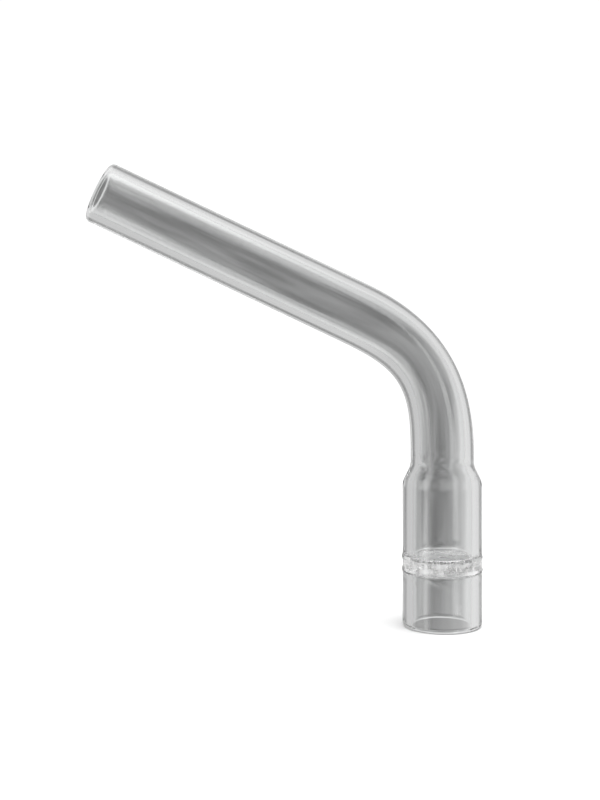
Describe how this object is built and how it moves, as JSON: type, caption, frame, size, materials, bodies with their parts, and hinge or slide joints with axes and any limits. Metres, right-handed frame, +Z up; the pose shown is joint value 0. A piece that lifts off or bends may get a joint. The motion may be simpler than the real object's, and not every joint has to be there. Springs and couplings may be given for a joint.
{
  "type": "bent glass draw tube",
  "caption": "Clear glass tube with one bend, and a wider open chamber at its lower end with a perforated glass screen sealed across it.",
  "frame": {"origin": "centre of the open rim of the wide chamber, in the plane of the rim", "axes": "+Z up the chamber's bore towards the bend; the bend lies in the XZ plane and the mouth end leans towards -X; +Y is square to the bend's plane"},
  "size_m": [0.0801, 0.016, 0.0934],
  "materials": {
    "tube_glass": "clear, smooth drawn glass with faint lengthwise draw lines",
    "chamber_glass": "clear, flame-polished glass",
    "screen_glass": "clear glass with slightly wavy fused faces and fire-softened holes"
  },
  "bodies": {
    "root": {"mouth_tube": "tube_glass", "chamber_sleeve": "chamber_glass", "screen_disc": "screen_glass", "loading_cup": "chamber_glass"}
  },
  "joints": []
}
